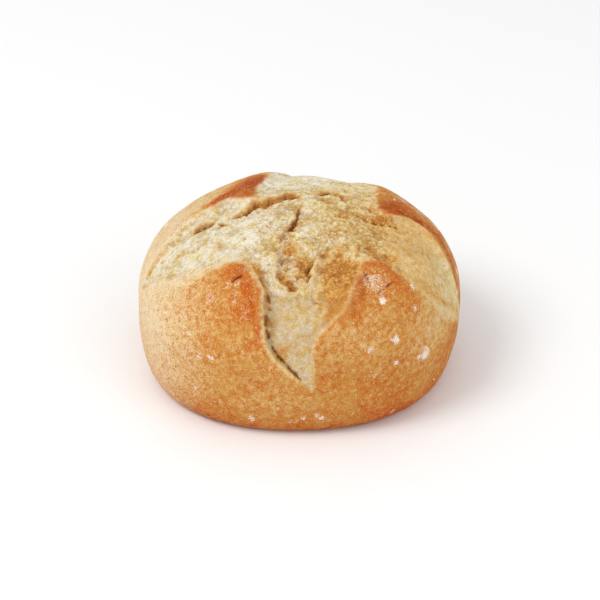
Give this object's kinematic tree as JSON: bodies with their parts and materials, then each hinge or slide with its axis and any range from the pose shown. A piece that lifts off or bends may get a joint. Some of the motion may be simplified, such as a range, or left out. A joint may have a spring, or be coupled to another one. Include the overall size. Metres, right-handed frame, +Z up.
{
  "type": "bread roll",
  "caption": "Round crusty white bread roll, slashed with a cross so that the crust opens into petals round a pale torn crumb. It rests on its flat underside.",
  "frame": {"origin": "centre of the roll's bounding box, on the surface that the roll rests on", "axes": "+Z up through the crown, +X to the right across the roll's widest side, +Y to the back, so that the long open slash faces -Y"},
  "size_m": [0.1004, 0.093, 0.0569],
  "materials": {
    "baked_crust": "matte"
  },
  "bodies": {
    "root": {"bread_roll": "baked_crust"}
  },
  "joints": []
}
